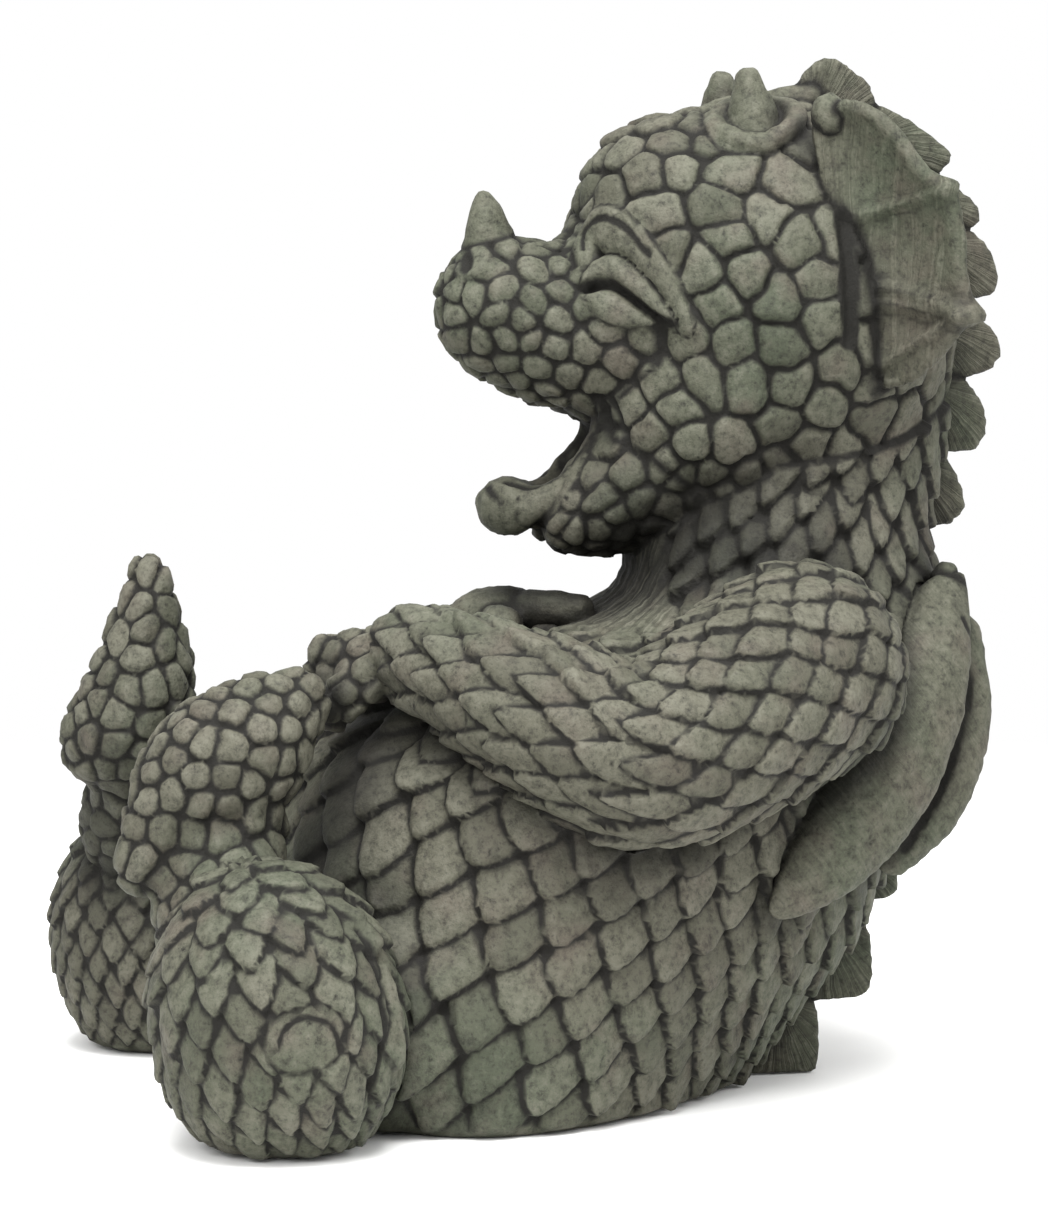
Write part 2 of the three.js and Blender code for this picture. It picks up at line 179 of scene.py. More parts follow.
crestShape = {
    # each tooth as y and z in the middle plane: start on the skin, shoulder, tip, under the tip, end
    "teeth": [
        [(74, 267.5), (82, 277.5), (91.4, 274), (95, 271.4), (97.5, 266)],
        [(97, 266), (109.4, 259.4), (118.8, 252.2), (117.4, 249), (112, 246)],
        [(112, 248), (123.5, 240.5), (126.8, 234.3), (124.5, 232.5), (116, 231)],
        [(120, 233.4), (128.8, 227), (132.2, 217.8), (130.2, 214), (119, 212.5)],
        [(119, 213), (129.8, 205), (133, 197.5), (130.5, 193.6), (119.5, 190.5)],
        [(121.5, 192), (128, 183.4), (128.5, 175.3), (126, 171.6), (115.5, 171)],
        [(116, 171.5), (121.2, 163.3), (123.2, 155.8), (119.8, 151.6), (108, 150)],
        [(106, 145), (112.5, 141), (116.5, 134), (114, 130.5), (107, 129)],
        [(109, 129.5), (119.5, 121), (120, 112.5), (117, 108.5), (107, 107.5)],
        [(107.5, 108), (117.5, 100), (117.5, 92), (114.5, 88.5), (103, 87)],
        [(103.5, 87.5), (111.4, 79), (111, 71), (108.4, 67.5), (98, 66.5)],
        [(97, 66), (103.4, 58), (104.7, 50), (102.2, 48), (91, 47)],
        [(92, 47), (97, 36), (97, 23), (94.5, 20.6), (80, 20)],
        [(81, 20.5), (82.5, 8.7), (81, -2), (76, -4), (62, -4)],
    ],
    "sink": 9.0,             # mm that a tooth reaches into the body
    "halfThickness": 3.2,
    "bevel": 9.0,            # mm from its edge where a tooth is at its full thickness
    "rounding": 1.0,
    "swell": 0.4,
    "strokeDepth": 0.16,
    "strokes": 2.6,          # radians of stroke to a millimetre
}


# Curves and distances. Every distance is in millimetres, below zero inside the form.

def unit(values):
    return np.clip(values, 0, 1)


def smoothRows(rows, between):
    # a curve through all the rows, in this many steps from row to row
    rows = np.asarray(rows, float)
    ends = np.vstack([2 * rows[0] - rows[1], rows, 2 * rows[-1] - rows[-2]])
    t = np.linspace(0, 1, between, endpoint=False)[:, None]
    out = []
    for a, b, c, d in zip(ends[:-3], ends[1:-2], ends[2:-1], ends[3:]):
        bend, twist = 2 * a - 5 * b + 4 * c - d, 3 * b - a - 3 * c + d
        out.append(0.5 * (2 * b + (c - a) * t + bend * t ** 2 + twist * t ** 3))
    return np.vstack(out + [rows[-1:]])


def mirrored(form):
    # a form is either a list of rows or an egg: middle, half sizes and tilt
    if isinstance(form, list):
        return [(-row[0], *row[1:]) for row in form]
    (x, y, z), half, tilt = form
    return (-x, y, z), half, tilt


def inEgg(points, egg):
    # the points in the egg's own axes, and its half sizes
    centre, half, tilt = (np.asarray(part, float) for part in egg)
    c, s = np.cos(np.radians(tilt)), np.sin(np.radians(tilt))
    x, y, z = (points - centre).T
    return np.stack([x, y * c + z * s, z * c - y * s], 1), half


def eggDistance(egg):
    centre, reach = np.array(egg[0]), max(egg[1])

    def distance(points):
        local, half = inEgg(points, egg)
        inner = np.linalg.norm(local / half, axis=1)
        slope = np.linalg.norm(local / half ** 2, axis=1) + 1e-9
        return inner * (inner - 1) / slope

    return distance, centre - reach, centre + reach


def toStretch(points, start, end):
    # share of the way along a straight stretch, and the distance from it
    step, offset = (end - start)[:3], points - start[:3]
    share = unit(offset @ step / (step @ step + 1e-9))
    return share, np.linalg.norm(offset - share[:, None] * step, axis=1)


def limbDistance(rows, flatten=1.0):
    # rows are points with a radius; flatten makes the limb narrower across the dragon
    path = smoothRows(rows, 5)
    middle = path[:, 0].mean()
    path[:, 0] = middle + (path[:, 0] - middle) * flatten
    reach = path[:, 3].max()
    low, high = path[:, :3].min(0) - reach, path[:, :3].max(0) + reach
    for side in (low, high):
        side[0] = middle + (side[0] - middle) / flatten

    def distance(points):
        points = points.copy()
        points[:, 0] = middle + (points[:, 0] - middle) * flatten
        best = np.full(len(points), 1e3)
        for start, end in zip(path[:-1], path[1:]):
            share, far = toStretch(points, start, end)
            best = np.minimum(best, far - start[3] - (end[3] - start[3]) * share)
        return best / max(1.0, flatten) ** 0.5

    return distance, low, high


def bodyDistance():
    rows = smoothRows(bodyShape["sections"], 10)
    heights, middles, depths, widths, eggs = rows[np.argsort(rows[:, 0])].T
    reach = (widths * (1 + eggs)).max()
    low = np.array([-reach, (middles - depths).min(), heights[0]])
    high = np.array([reach, (middles + depths).max(), heights[-1]])

    def distance(points):
        x, y, z = points.T
        inside = np.clip(z, heights[0], heights[-1])
        depth = np.interp(inside, heights, depths)
        back = (y - np.interp(inside, heights, middles)) / depth
        egg = np.interp(inside, heights, eggs)
        width = np.interp(inside, heights, widths) * (1 - egg * np.clip(back, -1, 1))
        radial = (np.hypot(x / width, back) - 1) * np.minimum(width, depth) * 0.9
        beyond = np.maximum(z - heights[-1], heights[0] - z)
        return np.where(beyond > 0, np.maximum(radial, beyond), radial)

    return distance, low, high


def crestTeeth():
    # each tooth's outline, where it stands on the skin, and the way it points
    for tooth in crestShape["teeth"]:
        start, shoulder, tip, under, end = (np.array(place, float) for place in tooth)
        ahead = (end - start) / np.linalg.norm(end - start)
        out = np.array([-ahead[1], ahead[0]])
        if out @ (tip - start) < 0:
            out = -out
        t = np.linspace(0, 1, 8)[:, None]
        bend = 2 * shoulder - 0.5 * (start + tip)
        curve = (1 - t) ** 2 * start + 2 * t * (1 - t) * bend + t ** 2 * tip
        sink = out * crestShape["sink"]
        yield np.vstack([[start - sink], curve, [under], [end], [end - sink]]), start, end, out


def plateDistance(outline):
    half, rounding = crestShape["halfThickness"], crestShape["rounding"]
    low = np.array([-half, *outline.min(0)])
    high = np.array([half, *outline.max(0)])

    def distance(points):
        flat = points[:, 1:]
        nearest = np.full(len(points), 1e9)
        sign = np.ones(len(points))
        for start, end in zip(outline, np.roll(outline, -1, axis=0)):
            step, offset = end - start, flat - start
            t = unit(offset @ step / (step @ step))
            nearest = np.minimum(nearest, ((offset - t[:, None] * step) ** 2).sum(1))
            above, below = flat[:, 1] >= start[1], flat[:, 1] < end[1]
            left = step[0] * offset[:, 1] > step[1] * offset[:, 0]
            sign = np.where((above & below & left) | (~above & ~below & ~left), -sign, sign)
        edge = sign * np.sqrt(nearest)
        side = np.abs(points[:, 0]) - np.interp(-edge, [0, crestShape["bevel"]], [half * 0.5, half])
        a, b = np.maximum(edge + rounding, 0), np.maximum(side + rounding, 0)
        inner = np.minimum(np.maximum(edge, side) + rounding, 0)
        return inner + np.hypot(a, b) - rounding - crestShape["swell"]

    return distance, low, high


def along(path, shares):
    places = np.linspace(0, 1, len(path))
    return np.stack([np.interp(shares, places, path[:, k]) for k in range(3)], 1)


def fanGrid(side):
    # a net of points over the fan, with its normals and its ways down and out; t runs down, u out to the rim
    t, u = np.linspace(0, 1, 61), np.linspace(0, 1, 25)
    root = along(smoothRows(fanShape["root"], 12), t)[:, None]
    rim = along(smoothRows(fanShape["rim"], 12), t)[:, None]
    grid = root + (rim - root) * u[None, :, None]
    hollow = fanShape["hollow"] * np.sqrt(np.sin(np.pi * np.clip(t, 0.01, 0.99)))
    grid[..., 0] -= hollow[:, None] * np.sin(np.pi * u)
    grid[..., 0] *= side
    down, out = np.gradient(grid, t, axis=0), np.gradient(grid, u, axis=1) + 1e-6
    normal = np.cross(down, out)
    normal /= np.linalg.norm(normal, axis=2, keepdims=True) + 1e-9
    places = np.stack(np.meshgrid(t, u, indexing="ij"), -1)
    return [part.reshape(-1, part.shape[-1]) for part in (grid, normal, down, out, places)]


def nearestOf(points, places):
    nearest = np.empty(len(points), int)
    for start in range(0, len(points), 2048):
        part = points[start:start + 2048]
        nearest[start:start + 2048] = (-2 * part @ places.T + (places ** 2).sum(1)).argmin(1)
    return nearest


def fanPlaces(points, side):
    # where on the fan a point lies: share of the way down and share of the way out to the rim
    grid, _, down, out, places = fanGrid(side)
    near = nearestOf(points, grid)
    offset, a, b = points - grid[near], down[near], out[near]
    aa, bb, ab = (a * a).sum(1), (b * b).sum(1), (a * b).sum(1)
    pa, pb = (offset * a).sum(1), (offset * b).sum(1)
    spread = aa * bb - ab * ab + 1e-6
    moveT = np.clip((pa * bb - pb * ab) / spread, -0.02, 0.02)
    moveU = np.clip((pb * aa - pa * ab) / spread, -0.04, 0.04)
    return places[near, 0] + moveT, places[near, 1] + moveU


def fanDistance(side):
    grid, normals, _, _, places = fanGrid(side)
    t, u = places.T
    atEdge = (u > 0.99) | (u < 0.01) | (t < 0.01) | (t > 0.99)
    thick, thin = fanShape["halfThickness"]

    def distance(points):
        near = nearestOf(points, grid)
        offset = points - grid[near]
        across = np.abs((offset * normals[near]).sum(1))
        whole = np.linalg.norm(offset, axis=1)
        return np.where(atEdge[near], whole, across) - thick - (thin - thick) * u[near]

    return distance, grid.min(0) - thick, grid.max(0) + thick


organs = []


def organ(name, zone, form, blend, flatten=1.0):
    if isinstance(form, list):
        form = limbDistance(form, flatten)
    elif not callable(form[0]):
        form = eggDistance(form)
    distance, low, high = form
    organs.append(dict(name=name, zone=zone, distance=distance, low=low, high=high, blend=blend))


def pair(name, zone, form, blend, flatten=1.0):
    organ(name + "Left", zone, form, blend, flatten)
    organ(name + "Right", zone, mirrored(form), blend, flatten)


def layOutOrgans():
    # name, zone of skin, form, mm over which it runs into the rest (below zero it is cut out)
    head, arm, leg, wing = headShape, armShape, legShape, wingShape
    organ("body", "body", bodyDistance(), 4)
    organ("skull", "skull", head["skull"], 8)
    organ("forehead", "skull", head["forehead"], 10)
    organ("cheeks", "skull", head["cheeks"], 12)
    organ("snout", "snout", head["snout"], 7)
    organ("chin", "jaw", head["chin"], 5)
    pair("jawSide", "jaw", head["jawSide"], 5)
    for k, rows in enumerate(head["mouthWalls"]):
        organ("mouthWall%d" % k, "jaw", rows, 3)
    organ("mouth", "smooth", head["cavity"], -2)
    organ("lip", "smooth", head["lip"], 2)
    organ("noseHorn", "smooth", head["noseHorn"], 3)
    pair("horn", "smooth", head["horn"], 1.5)
    pair("hornCollar", "smooth", head["hornCollar"], 1.2)
    organ("crownRidge", "smooth", head["crownRidge"], 3)
    organ("nearArm", "nearArm", arm["near"], 3)
    organ("farArm", "farArm", arm["far"], 3)
    organ("nearHand", "hand", arm["handBack"], 3)
    organ("farHand", "smooth", arm["farHandBack"], 3)
    for k, rows in enumerate(arm["fingers"]):
        organ("finger%d" % k, "hand", rows, 1.5)
    for k, rows in enumerate(arm["farFingers"]):
        organ("farFinger%d" % k, "smooth", rows, 1.2)
    pair("thigh", "body", leg["thigh"], 4)
    organ("nearLeg", "nearLeg", leg["near"], 3)
    organ("nearHeel", "nearLeg", leg["nearHeel"], 6)
    organ("farLeg", "farLeg", leg["far"], 3)
    organ("nearAnkle", "foot", leg["nearAnkle"], 4)
    organ("farAnkle", "foot", leg["farAnkle"], 4)
    organ("nearFoot", "foot", leg["nearFoot"], 3, leg["nearFlatten"])
    organ("farFoot", "foot", leg["farFoot"], 3, leg["farFlatten"])
    for k, (outline, *_) in enumerate(crestTeeth()):
        organ("tooth%d" % k, "crest", plateDistance(outline), 1.5)
    organ("fanLeft", "fanLeft", fanDistance(1), 1.5)
    organ("fanRight", "fanRight", fanDistance(-1), 1.5)
    pair("fanKnob", "smooth", fanShape["knob"], 2)
    pair("wingLobe", "wing", wing["lobe"], 3, wing["lobeFlatten"])
    pair("wingFold", "wing", wing["fold"], 3, wing["foldFlatten"])
    pair("wingKnuckle", "hand", wing["knuckle"], 2)


def within(points, low, high, margin):
    return np.flatnonzero(((points > low - margin) & (points < high + margin)).all(1))


def smoothUnion(a, b, blend):
    share = unit(0.5 + 0.5 * (b - a) / blend)
    return b * (1 - share) + a * share - blend * share * (1 - share)


def formDistance(points):
    total = np.full(len(points), farOff)
    for one in organs:
        blend = one["blend"]
        near = within(points, one["low"], one["high"], 2 * abs(blend) + coarseStep)
        if len(near) and blend > 0:
            total[near] = smoothUnion(total[near], one["distance"](points[near]), blend)
        elif len(near):
            total[near] = -smoothUnion(-total[near], one["distance"](points[near]), -blend)
    return np.maximum(total, -points[:, 2])


# The surface: a coarse grid finds it, finer grids follow it, and the mesh is stretched over the last

def gridAt(low, counts, step):
    axes = [low[k] + step * np.arange(counts[k]) for k in range(3)]
    return np.stack(np.meshgrid(*axes, indexing="ij"), -1).reshape(-1, 3)


def refined(values, low, step, parts):
    # cells near the surface are measured again in smaller steps, the others only keep their side
    near = np.abs(values) < 1.8 * step
    cells = np.zeros([n - 1 for n in values.shape], bool)
    for corner in np.ndindex(2, 2, 2):
        cells |= near[tuple(slice(c, n - 1 + c) for c, n in zip(corner, values.shape))]
    inside, wanted = values[:-1, :-1, :-1] < 0, cells
    for axis in range(3):
        inside, wanted = np.repeat(inside, parts, axis), np.repeat(wanted, parts, axis)
    inside = np.pad(inside, [(0, 1)] * 3, mode="edge")
    wanted = np.pad(wanted, [(0, 1)] * 3)
    for axis in range(3):
        shifted = np.swapaxes(wanted, 0, axis)
        shifted[1:] |= shifted[:-1].copy()
    finer = np.where(inside, np.float32(-farOff), np.float32(farOff))
    finer[wanted] = formDistance(low + step / parts * np.argwhere(wanted))
    return finer


def netOver(values, low, step):
    # one point in each cell that the surface crosses, one face round each step of the grid that it cuts
    inside = values < 0
    shape = [n - 1 for n in values.shape]
    count = np.zeros(shape, np.int8)
    for corner in np.ndindex(2, 2, 2):
        count += inside[tuple(slice(c, n + c) for c, n in zip(corner, shape))]
    cells = np.argwhere((count > 0) & (count < 8))
    number = np.full(shape, -1, np.int32)
    number[tuple(cells.T)] = np.arange(len(cells))
    place, weight = np.zeros((len(cells), 3)), np.zeros(len(cells))
    for start in np.ndindex(2, 2, 2):
        for axis in range(3):
            if start[axis]:
                continue
            end = list(start)
            end[axis] = 1
            a, b = values[tuple((cells + start).T)], values[tuple((cells + end).T)]
            crossed = (a < 0) != (b < 0)
            spot = np.tile(np.asarray(start, float), (len(cells), 1))
            spot[:, axis] = np.where(crossed, a / (a - b + 1e-20), 0)
            place[crossed] += spot[crossed]
            weight += crossed
    points = low + step * (cells + place / weight[:, None])
    faces = []
    for axis in range(3):
        first, second = (axis + 1) % 3, (axis + 2) % 3
        a = np.swapaxes(np.swapaxes(inside, 0, axis)[:-1], 0, axis)
        b = np.swapaxes(np.swapaxes(inside, 0, axis)[1:], 0, axis)
        edges = np.argwhere(a != b)
        kept = (edges[:, first] > 0) & (edges[:, second] > 0)
        edges = edges[kept & (edges[:, first] < shape[first]) & (edges[:, second] < shape[second])]
        corners = []
        for one, two in ((-1, -1), (0, -1), (0, 0), (-1, 0)):
            cell = edges.copy()
            cell[:, first] += one
            cell[:, second] += two
            corners.append(number[tuple(cell.T)])
        quads = np.stack(corners, 1)
        outward = a[tuple(edges.T)]
        quads[~outward] = quads[~outward][:, ::-1]
        faces.append(quads)
    return points, np.vstack(faces)


def stretchSurface():
    low, high = (np.array(corner) for corner in searchBox)
    counts = np.ceil((high - low) / coarseStep).astype(int) + 1
    coarse = formDistance(gridAt(low, counts, coarseStep)).reshape(counts).astype(np.float32)
    values, step = refined(coarse, low, coarseStep, 3), coarseStep / 3
    if gridStep < step:
        parts = round(step / gridStep)
        values, step = refined(values, low, step, parts), step / parts
    points, quads = netOver(values, low, step)
    return points, quads, (coarse, low)


def cornerNormals(points, quads):
    a, b, c, d = (points[quads[:, k]] for k in range(4))
    across, corners = np.cross(c - a, d - b), quads.ravel()
    total = [np.bincount(corners, np.repeat(across[:, k], 4), len(points)) for k in range(3)]
    total = np.stack(total, 1)
    return total / (np.linalg.norm(total, axis=1, keepdims=True) + 1e-12)


def readGrid(grid, points):
    # the coarse distances, read between their places
    values, low = grid
    place = (points - low) / coarseStep
    base = np.clip(np.floor(place).astype(int), 0, np.array(values.shape) - 2)
    part = unit(place - base)
    total = np.zeros(len(points))
    for corner in np.ndindex(2, 2, 2):
        weight = np.prod(np.where(np.array(corner) > 0, part, 1 - part), axis=1)
        total += weight * values[tuple((base + corner).T)]
    return total


# Carving. Each kind of skin gives a height in millimetres, how deep it lies in a groove or shade (painted
# dark as dirt and painted shade), and a tone

def scatter(*keys):
    # a number from 0 to 1 that looks thrown, the same each time for the same keys
    total = sum(np.asarray(key, float) * factor for key, factor in zip(keys, (127.1, 311.7, 74.7, 53.3)))
    wave = np.sin(total + 1.3) * 43758.5453
    return wave - np.floor(wave)


def ripple(points, size, seed):
    # seven waves of about this length in mm, laid over each other
    draw = np.random.default_rng(seed)
    directions = draw.normal(size=(7, 3))
    directions /= np.linalg.norm(directions, axis=1, keepdims=True)
    phases = draw.uniform(0, 6.28, 7)
    stretch = draw.uniform(0.7, 1.5, 7) * 2 * np.pi / size
    return np.sin(points @ (directions * stretch[:, None]).T + phases).sum(1) / 7 ** 0.5


carving = {
    "overlap": 1.75,       # how many rows one scale covers
    "tipEnd": 1.02,        # where a scale ends, as a share of its length
    "roundness": 0.6,      # lower gives blunter tips
    "rowShift": 0.16,      # of a scale's width that a row strays
    "sag": 0.16,           # of its rise that a scale falls towards its sides
    "lean": 0.6,           # of its rise that it leans to one side or the other
    "edgeDrop": 0.2,       # of its rise that its very edge falls, over edgeWidth
    "edgeWidth": 0.8,
    "wobble": 1.0,         # mm that hand carving strays
    "limbWobble": 0.7,     # of that on arms and legs
    "closest": 0.9,        # of a plate's size, from its middle to the next one's
    "grooveWidth": 0.85,
    "grooveDepth": 1.9,    # of the largest plates
    "cornerRound": 0.5,    # mm, how softly the corners of a plate are rounded
    "plateStray": 0.05,    # of a plate's size that its borders wander
    "plateDome": 0.35,
    "plateTilt": 3.0,
    "plateStep": 0.8,      # mm from the lowest plates to the highest
    "shade": 1.9,          # mm from a groove over which its dirt and painted shade thin out
    "shadow": 2.8,         # mm of painted shadow beside a scale's free edge
    "seamWidth": 2.4,      # mm on each side, where two kinds of skin meet
    "seamDepth": 0.6,
    "padEdge": 0.9,        # mm over which a pad rises from the skin
    "padLine": 1.7,        # mm of dirt and painted shade round it
    "softHeight": 0.35,    # share of its neighbours that each point takes on
    "softSunk": 0.3,
}


def countsAround(t, radii, size):
    # how many scales stand in each row, kept the same from row to row until they grow too wide or narrow
    row = np.floor(t / size[1]).astype(int)
    first, last = row.min() - 4, row.max() + 4
    counts, current = {}, 0
    for k in range(first, last + 1):
        here = row == k
        if here.sum() > 20:
            wanted = 2 * np.pi * radii[here].mean() / size[0]
            if current == 0 or abs(wanted / current - 1) > 0.14:
                current = max(5, round(wanted))
        counts[k] = current
    known = [k for k in counts if counts[k]]
    for k in counts:
        if not counts[k]:
            counts[k] = counts[min(known, key=lambda other: abs(other - k))]
    return first, np.array([counts[k] for k in range(first, last + 1)])


def scaleSkin(t, turn, radii, size, seed):
    # each point looks at the three rows that can cover it, and the highest scale wins
    width, step, rise, pointed = size
    first, counts = countsAround(t, radii, size)
    height = np.full(len(t), -0.15 * rise)
    sunk, tone, edge = np.ones(len(t)), np.zeros(len(t)), np.full(len(t), farOff)
    for above in (0, 1, 2):
        row = np.floor(t / step).astype(int) - above
        count = counts[row - first]
        place = turn * count + 0.5 * (row % 2) + carving["rowShift"] * (scatter(row, seed) - 0.5)
        column = np.floor(place)
        across = place - column - 0.5
        column %= count
        one, two, three = (scatter(row, column, seed + k) for k in (1, 2, 3))
        reach = (t / step - row) / (carving["overlap"] * (0.94 + 0.14 * one))
        half = 0.5 * unit((carving["tipEnd"] - reach) / pointed) ** carving["roundness"]
        rim = (half - np.abs(across)) * width
        lift = 0.05 + 0.9 * reach * (0.75 + 0.5 * two) - carving["sag"] * (across / 0.5) ** 2
        lift = rise * (lift + carving["lean"] * (three - 0.5) * across)
        lift -= carving["edgeDrop"] * rise * np.exp(-(rim / carving["edgeWidth"]) ** 2)
        over = (np.abs(across) < half) & (reach < carving["tipEnd"]) & (lift > height)
        height = np.where(over, lift, height)
        # painted shade at a scale's root, under the tip of the scale above
        sunk = np.where(over, unit(0.5 - 1.2 * reach), sunk)
        # painted shadow on the lower scale beside the free edge of the one above
        beside = np.where(reach < 1.15, -rim / carving["shadow"], farOff)
        edge = np.where(over, rim, np.minimum(edge, beside))
        tone = np.where(over, one - 0.5, tone)
    return height, unit(np.maximum(sunk, 1 - np.maximum(edge, 0))), tone


neighbourhood = [(a, b, c) for a in (-1, 0, 1) for b in (-1, 0, 1) for c in (-1, 0, 1)]
mostThrows = 60000


def plateSkin(points, sizes, seed):
    # stones set in mortar: their middles are thrown on the skin, none too close to another
    order = np.random.default_rng(seed).permutation(len(points))
    middles, reach, cells = [], [], {}
    cell = sizes.max()

    def tooClose(spot, size, home):
        for a, b, c in neighbourhood:
            for other in cells.get((home[0] + a, home[1] + b, home[2] + c), ()):
                gap = carving["closest"] * min(size, reach[other])
                if ((spot - middles[other]) ** 2).sum() < gap * gap:
                    return True
        return False

    for index in order[:mostThrows]:
        spot, size = points[index], sizes[index]
        home = tuple((spot // cell).astype(int))
        if not tooClose(spot, size, home):
            cells.setdefault(home, []).append(len(middles))
            middles.append(spot)
            reach.append(size)
    middles = np.array(middles)
    stray = np.stack([ripple(points, 11.0, seed + k) for k in (1, 2, 3)], 1)
    strayed = points + carving["plateStray"] * sizes[:, None] * stray
    nearest = np.empty((len(points), 4), int)
    for start in range(0, len(points), 4096):
        far = -2 * strayed[start:start + 4096] @ middles.T + (middles ** 2).sum(1)
        picked = np.argpartition(far, 4, axis=1)[:, :4]
        order = np.take_along_axis(far, picked, 1).argsort(1)
        nearest[start:start + 4096] = np.take_along_axis(picked, order, 1)
    first, home = nearest[:, 0], middles[nearest[:, 0]]
    soft, total = carving["cornerRound"], np.zeros(len(points))
    for k in (1, 2, 3):
        between = middles[nearest[:, k]] - home
        apart = np.linalg.norm(between, axis=1) + 1e-6
        total += np.exp(-((home + between / 2 - strayed) * between).sum(1) / apart / soft)
    border = np.maximum(-soft * np.log(total), 0)
    small = np.clip(sizes / 12.0, 0.6, 1)  # small plates have finer grooves
    groove = np.exp(-(border / (carving["grooveWidth"] * small ** 0.5)) ** 2)
    offset = (strayed - home) / sizes[:, None]
    tilt = np.stack([scatter(first, seed + k) - 0.5 for k in (5, 6, 7)], 1)
    height = -0.1 - carving["grooveDepth"] * small * groove
    height += carving["plateDome"] * unit(border / (0.4 * sizes)) ** 0.5
    step = carving["plateStep"] * (scatter(first, seed + 9) - 0.5)
    height += (carving["plateTilt"] * (offset * tilt).sum(1) + step) * (1 - groove)
    return height, unit(1 - border / (carving["shade"] * small ** 0.5)), scatter(first, seed + 8) - 0.5


def alongLimb(points, rows):
    # length along the limb and angle round it, shared between all near stretches so that rows
    # stay whole at a bend
    path = smoothRows(rows, 4)
    starts, steps = path[:-1], np.diff(path, axis=0)
    lengths = np.linalg.norm(steps[:, :3], axis=1)
    travel = np.concatenate([[0], np.cumsum(lengths)])
    far = np.empty((len(points), len(starts)))
    shares = np.empty_like(far)
    for k, (start, step, length) in enumerate(zip(starts, steps, lengths)):
        offset = points - start[:3]
        shares[:, k] = offset @ step[:3] / length ** 2
        share = unit(shares[:, k])
        far[:, k] = np.linalg.norm(offset - share[:, None] * step[:3], axis=1) - start[3] - step[3] * share
    weights = np.exp(-(far - far.min(1, keepdims=True)) / 2.5)
    weights /= weights.sum(1, keepdims=True)
    t, radius, across, upward = (np.zeros(len(points)) for _ in range(4))
    for k, (start, step, length) in enumerate(zip(starts, steps, lengths)):
        ahead = step[:3] / length
        side = np.cross(ahead, [0, 0, 1.0])
        side /= np.linalg.norm(side)
        offset = points - start[:3]
        t += weights[:, k] * (travel[k] + np.clip(shares[:, k], -2, 3) * length)
        radius += weights[:, k] * start[3]
        across += weights[:, k] * (offset @ side)
        upward += weights[:, k] * (offset @ np.cross(side, ahead))
    return t, np.arctan2(across, upward) / (2 * np.pi), radius


def aroundBody(points, normals):
    # rows of scales run round the line from the neck to the foot of the belly
    top, foot = (np.array(place, float) for place in bodyShape["rowsRun"])
    a, b = points - top, points - foot
    farA, farB = np.linalg.norm(a, axis=1), np.linalg.norm(b, axis=1)
    share = farA / (farA + farB)
    slope = (farB / farA)[:, None] * a - (farA / farB)[:, None] * b
    slope /= ((farA + farB) ** 2)[:, None]
    slope -= (slope * normals).sum(1, keepdims=True) * normals
    steep = np.linalg.norm(slope, axis=1)
    bands = np.arange(59)
    edges = np.linspace(share.min() - 1e-6, share.max() + 1e-6, len(bands) + 1)
    bins = np.digitize(share, edges) - 1
    mean = np.array([steep[bins == k].mean() if (bins == k).sum() > 30 else np.nan for k in bands])
    mean = np.interp(bands, np.flatnonzero(~np.isnan(mean)), mean[~np.isnan(mean)])
    travel = np.concatenate([[0], np.cumsum(np.diff(edges) / mean)])
    t = np.interp(share, edges, travel)
    axis = (foot - top) / np.linalg.norm(foot - top)
    side = np.array([1.0, 0, 0])
    up = np.cross(side, axis)
    turn = np.arctan2(a @ side, a @ up) / (2 * np.pi)
    radius = np.linalg.norm(a - (a @ axis)[:, None] * axis, axis=1)
    return t, turn, radius


def aroundEgg(points, egg):
    local, half = inEgg(points, egg)
    local /= half
    polar = np.arccos(np.clip(local[:, 2] / (np.linalg.norm(local, axis=1) + 1e-9), -1, 1))
    turn = np.arctan2(local[:, 0], local[:, 1]) / (2 * np.pi)
    return polar * (half[2] * 0.6 + half[0] * 0.4), turn, np.sin(polar) * (half[0] + half[1]) / 2


# Smooth pads raised on the skin: points with half width, rise. Those in the first list stand on both
# sides, the last one is on the near knee
pairedPads = [
    # brow, upper lid, lower lid
    ([(17, 13.8, 222.5, 3), (14.5, 14.2, 228, 4.6), (16.5, 16.2, 231.8, 6.3), (21, 19.5, 231.5, 6.9),
      (25.5, 23.5, 228, 6.4), (29.8, 28.8, 221.5, 5.4), (32, 33.5, 214, 4.5), (33.8, 37.3, 206.5, 3)], 2.2),
    ([(20.8, 13.4, 218.4, 2.2), (21.5, 16.8, 220.9, 3.8), (23.8, 20.2, 220.8, 4.7), (27.3, 25.5, 216.2, 4.3),
      (30, 30.5, 211.3, 3), (32, 34.3, 207.6, 1.6)], 3.4),
    ([(23, 13.4, 213.6, 1.8), (24, 16.5, 212.4, 4.3), (25.5, 20.3, 210.8, 4.8), (27.5, 25, 209, 3.5),
      (29, 29.2, 207.8, 1.6)], 2.2),
    # nostril, lip, strip in front of the ear fan
    ([(9.4, -16.2, 223.4, 5.4), (9.9, -15.6, 223.8, 5.4)], 1.0),
    ([(11.4, 18, 175.5, 2.4), (12.2, 15, 169.5, 3.3), (12.8, 9, 162.2, 4.4), (10.5, 0.8, 157, 5.6)], 0.4),
    ([(40.6, 77.8, 235.5, 2.2), (43, 78.8, 223, 2.7), (44, 79.2, 211, 2.7), (43.4, 79.3, 202, 2.2)], 0.2),
]
nearPads = [([(111.5, -79, 33, 8.5), (111.5, -75, 34, 8.5)], 0.5)]

